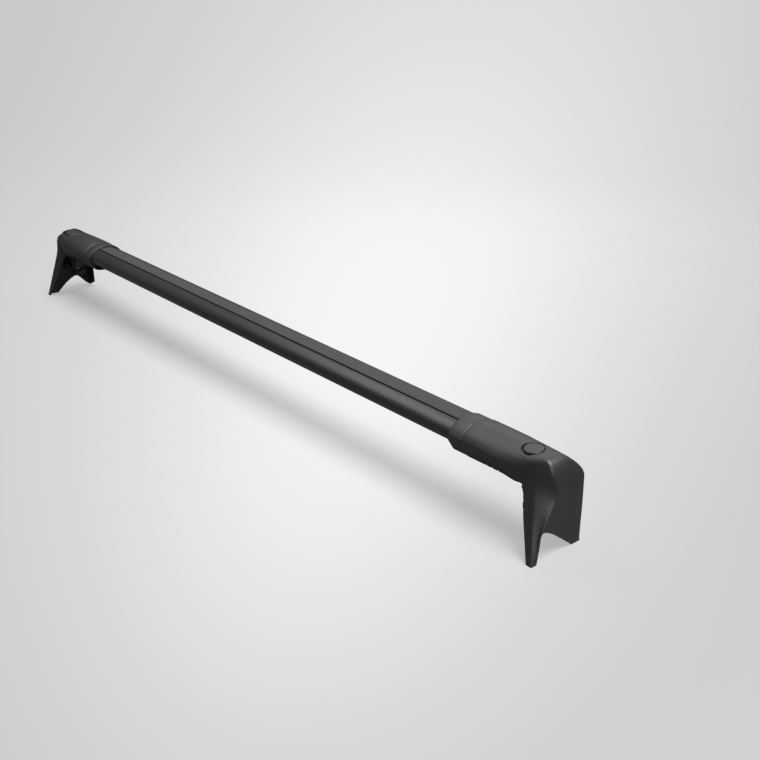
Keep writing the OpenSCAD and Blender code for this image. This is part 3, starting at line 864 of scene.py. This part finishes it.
class CROSSBAR_OT_feet(bpy.types.Operator):
    """Model the foot covers: sleeve, shoulder and creased leg in one shell, with pocket and ribs"""

    bl_idname = "crossbar.feet"
    bl_label = "Foot covers"

    def execute(self, context):
        plastic = moulded_plastic("grained_cover", colours().plastic)
        for side, tag in SIDES:
            skin = outer_skin(side, plastic)
            outside = as_shell(skin)
            solid = skin.modifiers.new("wall", "SOLIDIFY")
            solid.thickness = sizes().cover_wall
            solid.offset = -1
            solid.use_even_offset = True
            solid.thickness_clamp = 1.0
            baked(skin)
            gap = sizes().cap_gap
            radius = CAP_RADIUS + 0.25 * MM + gap / 2
            centre = (side * SCREW_X, SCREW_Y - gap / 2)
            low, high = 90 * MM, 130 * MM
            notch_low = (side * SCREW_X - NOTCH_HALF[side], SCREW_Y + NOTCH_FRONT, NOTCH_LOW)
            notch_high = (side * SCREW_X + NOTCH_HALF[side], PIN_Y + NOTCH_REAR[side], high)
            pocket = lathe([(0, low), (radius, low), (radius, high), (0, high)], centre)
            notch = rounded_block(notch_low, notch_high, 0.3 * MM)
            for shell in (pocket, notch, arch_cut(side), flange_cut(side)):
                carved(skin, shell, plastic)
            for v in skin.data.vertices:
                v.co.x = max(min(v.co.x, HALF), -HALF)
                v.co.z = max(min(v.co.z, CAD_BOX[1][2]), 0)
            parts = [as_shell(skin), cap_pocket(side, outside, radius, centre)] + leg_ribs(side)
            bpy.data.objects.remove(skin)
            cover = joined("foot_cover_shell_" + tag, parts, plastic, 32)
            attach(cover, "frame")
            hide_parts("foot_cover_" + tag)
        return {"FINISHED"}


SEAL_OUT = 1.5 * MM  # the seal's thickness over the bar
SEAL_PLAY = 0.05 * MM


class CROSSBAR_OT_seals(bpy.types.Operator):
    """Fit the rubber seals between the sleeves' mouths and the bar"""

    bl_idname = "crossbar.seals"
    bl_label = "Collar seals"

    def execute(self, context):
        rubber = plain_rubber("seal_rubber", colours().rubber)
        for side, tag in SIDES:
            low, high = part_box("collar_seal_" + tag)
            loops = [bar_outline(SEAL_OUT), bar_outline(SEAL_PLAY)]
            obj = extruded("mouth_seal_" + tag, loops, low.x, high.x, rubber, 40)
            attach(obj, "frame")
            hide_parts("collar_seal_" + tag)
        return {"FINISHED"}


# Caps, clamps and pads

CAP_PROUD = 0.15 * MM  # how far the cap stands over the skin round it
CAP_EDGE = 0.8 * MM
BARREL_RADIUS = 1.5 * MM
BARREL_HALF = 4 * MM
THREAD_RADIUS = 3.72 * MM
THREAD_DEPTH = 0.42 * MM
THREAD_START = 0.6 * MM  # over the screw's end
THREAD_END = 18 * MM  # over the bracket's lowest point
RIDGE_RADIUS = 0.7 * MM
RIDGE_SINK = 0.45 * MM  # how far a ridge's middle lies inside the pad
RIDGE_SHORT = 9 * MM  # how much a ridge is shorter than the pad is wide


class CROSSBAR_OT_caps(bpy.types.Operator):
    """Turn the round caps, slightly dished, with a hinge barrel at the rear"""

    bl_idname = "crossbar.caps"
    bl_label = "Round caps"

    def execute(self, context):
        satin = moulded_plastic("satin_cap", colours().cap, rough=0.47, grain=0.10)
        radius = CAP_RADIUS
        low, high = CAP_LOW.z + 0.1 * MM, CAP_HIGH.z
        edge = CAP_EDGE
        rim = low + edge * 1.1
        profile = [(0, low), (radius - edge, low), (radius - 0.2 * MM, low + 0.3 * MM), (radius, low + edge),
                   (radius, high - edge * 1.2)]
        for k in range(1, 7):
            a = math.pi / 2 * k / 6
            profile.append((radius - edge + edge * math.cos(a), high - edge * 1.2 + edge * math.sin(a)))
        profile += [(radius * 0.8, high - 0.1 * MM), (radius * 0.6, high - 0.12 * MM), (0, high - 0.05 * MM)]
        end = [(BARREL_RADIUS, BARREL_HALF - 0.2 * MM), (BARREL_RADIUS - 0.2 * MM, BARREL_HALF),
               (0, BARREL_HALF)]
        barrel = lathe([(r, -z) for r, z in reversed(end)] + end, (0, 0), 32)
        for side, tag in SIDES:
            skin = outer_skin(side, satin)
            tree = BVHTree.FromPolygons(*as_shell(skin))
            bpy.data.objects.remove(skin)
            verts, faces = lathe(profile, (side * SCREW_X, SCREW_Y))
            for i, (x, y, z) in enumerate(verts):
                if z >= rim:
                    verts[i] = (x, y, min(max(height_on(tree, x, y) + CAP_PROUD + z - high, rim), high))
            turned = [(side * SCREW_X + z, PIN_Y + x, PIN_Z + y) for x, y, z in barrel[0]]
            obj = joined("round_cap_" + tag, [(verts, faces), (turned, barrel[1])], satin, 40)
            outward(obj.data)
            set_smooth(obj.data, 40)
            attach(obj, "cap_" + tag)
            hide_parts("screw_cap_" + tag)
        return {"FINISHED"}


def geometry_tree(name, numbers):
    """A Geometry Nodes group with named number inputs, and those inputs' sockets."""
    tree = bpy.data.node_groups.new(name, "GeometryNodeTree")
    tree.interface.new_socket("Geometry", in_out="INPUT", socket_type="NodeSocketGeometry")
    for label, value in numbers.items():
        kind = "NodeSocketInt" if isinstance(value, int) else "NodeSocketFloat"
        socket = tree.interface.new_socket(label, in_out="INPUT", socket_type=kind)
        socket.default_value = value
    tree.interface.new_socket("Geometry", in_out="OUTPUT", socket_type="NodeSocketGeometry")
    return tree, node(tree, "NodeGroupInput").outputs


def close_tree(tree, geometry, material):
    """Ends a tree in Realize Instances and Set Material."""
    real = node(tree, "GeometryNodeRealizeInstances", {"Geometry": geometry}).outputs["Geometry"]
    paint = node(tree, "GeometryNodeSetMaterial", {"Geometry": real, "Material": material})
    node(tree, "NodeGroupOutput", {"Geometry": paint.outputs["Geometry"]})


def thread_tree(material):
    """A helical thread ridge: a spiral swept with a small diamond."""
    tree, given = geometry_tree("screw_thread", {
        "Radius": 4 * MM, "Pitch": 1.25 * MM, "Length": 40 * MM, "Depth": 0.5 * MM})
    spiral = node(tree, "GeometryNodeCurveSpiral", {
        "Resolution": 28, "Rotations": math_node(tree, "DIVIDE", given["Length"], given["Pitch"]),
        "Start Radius": given["Radius"], "End Radius": given["Radius"], "Height": given["Length"]})
    ridge = node(tree, "GeometryNodeCurvePrimitiveCircle", {"Resolution": 4, "Radius": given["Depth"]})
    sweep = node(tree, "GeometryNodeCurveToMesh", {
        "Curve": spiral.outputs["Curve"], "Profile Curve": ridge.outputs["Curve"], "Fill Caps": True})
    close_tree(tree, sweep.outputs["Mesh"], material)
    return tree


def ridge_tree(material):
    """A row of low ridges laid side by side along X."""
    tree, given = geometry_tree("pad_ridges", {
        "Count": 10, "Spacing": 3 * MM, "Width": 20 * MM, "Radius": 0.6 * MM})
    offset = node(tree, "ShaderNodeCombineXYZ", {"X": given["Spacing"]})
    line = node(tree, "GeometryNodeMeshLine", {"Count": given["Count"], "Offset": offset.outputs["Vector"]})
    rod = node(tree, "GeometryNodeMeshCylinder", {
        "Vertices": 16, "Radius": given["Radius"], "Depth": given["Width"]})
    turn = node(tree, "GeometryNodeTransform", {
        "Geometry": rod.outputs["Mesh"], "Rotation": (math.pi / 2, 0, 0)})
    spread = node(tree, "GeometryNodeInstanceOnPoints", {
        "Points": line.outputs["Mesh"], "Instance": turn.outputs["Geometry"]})
    close_tree(tree, spread.outputs["Instances"], material)
    return tree


def grown(name, tree, values, shift, material):
    """Runs a tree on an empty mesh, bakes it and moves its points to their place."""
    obj = placed(name, bpy.data.meshes.new(name))
    modifier = obj.modifiers.new("grow", "NODES")
    modifier.node_group = tree
    for item in tree.interface.items_tree:
        if item.item_type == "SOCKET" and item.in_out == "INPUT" and item.name in values:
            modifier[item.identifier] = values[item.name]
    baked(obj)
    obj.data.transform(Matrix.Translation(Vector(shift)))
    obj.data.materials.clear()
    obj.data.materials.append(material)
    outward(obj.data)
    set_smooth(obj.data, SMOOTH_ANGLE)
    return obj


class CROSSBAR_OT_clamps(bpy.types.Operator):
    """Finish the hidden clamps: cast brackets, plated screws with a thread, coated claws and rubber pads;
    the clamp screws, washers and claws are darkened as painted shade
    """

    bl_idname = "crossbar.clamps"
    bl_label = "Clamps"

    def execute(self, context):
        finishes = {
            "foot_bracket": cast_metal("cast_bracket", (0.045, 0.045, 0.047)),
            "bar_bolts": plated_steel("plated_bolts", (0.20, 0.20, 0.21)),
            "cover_screws": coated_steel("black_screws", (0.03, 0.03, 0.03)),
            # The washer's and clamp screw's plated steel is darkened to painted shade: they sit in the leg's
            # shaded hollow
            "screw_washer": plated_steel("plated_washer_painted_shade", (0.14, 0.14, 0.15)),
            "clamp_screw": plated_steel("plated_screw_painted_shade", (0.12, 0.12, 0.13)),
            "cap_pin": plated_steel("steel_pin", (0.40, 0.40, 0.42)),
            # The claw's black is painted shade: it darkens a part that sits in the leg's shaded hollow
            "clamp_claw": coated_steel("claw_painted_shade", (0.012, 0.012, 0.013)),
            "claw_pad": plain_rubber("claw_rubber", colours().rubber),
            "saddle_pad": plain_rubber("pad_rubber", colours().rubber),
        }
        for name, material in finishes.items():
            for _, tag in SIDES:
                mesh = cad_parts[name + "_" + tag].data
                mesh.materials.clear()
                mesh.materials.append(material)
        thread = thread_tree(finishes["clamp_screw"])
        pitch = sizes().thread_pitch
        for side, tag in SIDES:
            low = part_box("clamp_screw_" + tag)[0]
            base = low.z + THREAD_START
            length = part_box("foot_bracket_" + tag)[0].z + THREAD_END - base
            obj = grown("screw_thread_" + tag, thread,
                        {"Radius": THREAD_RADIUS, "Pitch": pitch, "Length": length, "Depth": THREAD_DEPTH},
                        (side * SCREW_X, SCREW_Y, base), finishes["clamp_screw"])
            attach(obj, "screw_" + tag)
        return {"FINISHED"}


class CROSSBAR_OT_pads(bpy.types.Operator):
    """Rib the undersides of the saddle pads"""

    bl_idname = "crossbar.pads"
    bl_label = "Pad ridges"

    def execute(self, context):
        rubber = bpy.data.materials["pad_rubber"]
        tree = ridge_tree(rubber)
        spacing = sizes().pad_ridge
        for side, tag in SIDES:
            low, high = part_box("saddle_pad_" + tag)
            count = int((high.x - low.x - 2 * MM) / spacing)
            start = (low.x + high.x - (count - 1) * spacing) / 2
            width = high.y - low.y - RIDGE_SHORT
            obj = grown("pad_ridges_" + tag, tree,
                        {"Count": count, "Spacing": spacing, "Width": width, "Radius": RIDGE_RADIUS},
                        (start, (low.y + high.y) / 2, low.z + RIDGE_SINK), rubber)
            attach(obj, "frame")
        return {"FINISHED"}


# Studio

CAMERA_PLACE = (1.140755, -0.788014, 0.657380)  # metres from the point on the floor under the bar's middle
CAMERA_RIGHT = (0.66845, 0.74375, -0.00105)
CAMERA_UP = (-0.31510, 0.28440, 0.90540)
CAMERA_LENS = 50.92
CAMERA_SENSOR = 36
FLOOR_HALF = 14.0  # half the floor's width, in metres
WORLD_LIGHT = 0.08
WORLD_SEEN = 0.62  # the world's level behind the floor's edge
OVERHEAD_POWER = 8.4
OVERHEAD_SPREAD = 35  # degrees across
OVERHEAD_FROM = (0.28, 0.06, 1.0)

# Soft lamps: name, place, target, width, depth and power
LAMPS = (
    ("streak", (-0.70, -0.05, 1.40), (0.35, 0, 0.09), 1.1, 0.5, 10),
    ("rear_sheen", (-0.25, 0.98, 0.75), (0.45, 0, 0.10), 1.0, 0.6, 3.8),
    ("right_fill", (1.35, -0.28, 0.42), (0.55, 0, 0.05), 0.5, 0.4, 6.0),
)


def soft_lamp(name, place, target, width, depth, power):
    data = bpy.data.lights.new(name, "AREA")
    data.shape = "RECTANGLE"
    data.size = width
    data.size_y = depth
    data.energy = power
    lamp = placed(name, data)
    lamp.location = place
    lamp.rotation_euler = (Vector(target) - Vector(place)).to_track_quat("-Z", "Y").to_euler()


class CROSSBAR_OT_stage(bpy.types.Operator):
    """Set the pale floor, the soft lamps, the world and the camera"""

    bl_idname = "crossbar.stage"
    bl_label = "Studio"

    def execute(self, context):
        scene = context.scene
        corners = [(x * FLOOR_HALF, y * FLOOR_HALF, 0) for x, y in ((-1, -1), (1, -1), (1, 1), (-1, 1))]
        floor = mesh_object("floor", corners, [(0, 1, 2, 3)], studio_floor("pale_floor", colours().floor))
        sun = bpy.data.lights.new("overhead", "SUN")
        sun.energy = OVERHEAD_POWER
        sun.angle = math.radians(OVERHEAD_SPREAD)
        placed("overhead", sun).rotation_euler = Vector(OVERHEAD_FROM).to_track_quat("Z", "Y").to_euler()
        for lamp in LAMPS:
            soft_lamp(*lamp)
        world = bpy.data.worlds.new("studio")
        scene.world = world
        world.use_nodes = True
        tree = world.node_tree
        back = tree.nodes["Background"]
        back.inputs["Color"].default_value = (1, 1, 1, 1)
        seen = node(tree, "ShaderNodeLightPath").outputs["Is Camera Ray"]
        tree.links.new(ranged(tree, seen, WORLD_LIGHT, WORLD_SEEN, 0, 1), back.inputs["Strength"])
        data = bpy.data.cameras.new("camera")
        data.lens = CAMERA_LENS
        data.sensor_width = CAMERA_SENSOR
        camera = placed("camera", data)
        right, up = Vector(CAMERA_RIGHT).normalized(), Vector(CAMERA_UP).normalized()
        behind = right.cross(up).normalized()
        turn = Matrix((right, behind.cross(right), behind)).transposed().to_4x4()
        camera.matrix_world = Matrix.Translation(Vector(CAMERA_PLACE) + Vector((0, AXIS_Y, 0))) @ turn
        scene.camera = camera
        scene.view_settings.view_transform = "Standard"
        return {"FINISHED"}


class CROSSBAR_PT_panel(bpy.types.Panel):
    """Lists the pieces of the crossbar"""

    bl_idname = "CROSSBAR_PT_panel"
    bl_label = "Crossbar"
    bl_space_type = "VIEW_3D"
    bl_region_type = "UI"
    bl_category = "Crossbar"

    def draw(self, context):
        column = self.layout.column(align=True)
        for operator in OPERATORS:
            column.operator(operator.bl_idname)
        for group in (sizes(), colours()):
            box = self.layout.box()
            for key in group.__annotations__:
                box.prop(group, key)


OPERATORS = (CROSSBAR_OT_stage, CROSSBAR_OT_bar, CROSSBAR_OT_strip, CROSSBAR_OT_feet, CROSSBAR_OT_seals,
             CROSSBAR_OT_caps, CROSSBAR_OT_clamps, CROSSBAR_OT_pads)
CLASSES = (CrossbarSizes, CrossbarColours) + OPERATORS + (CROSSBAR_PT_panel,)


def register():
    for item in CLASSES:
        bpy.utils.register_class(item)
    bpy.types.Scene.crossbar_sizes = PointerProperty(type=CrossbarSizes)
    bpy.types.Scene.crossbar_colours = PointerProperty(type=CrossbarColours)


def unregister():
    del bpy.types.Scene.crossbar_sizes
    del bpy.types.Scene.crossbar_colours
    for item in reversed(CLASSES):
        bpy.utils.unregister_class(item)


def main():
    register()
    for operator in OPERATORS:
        name = operator.bl_idname.split(".")[1]
        getattr(bpy.ops.crossbar, name)()


if __name__ == "__main__":
    main()
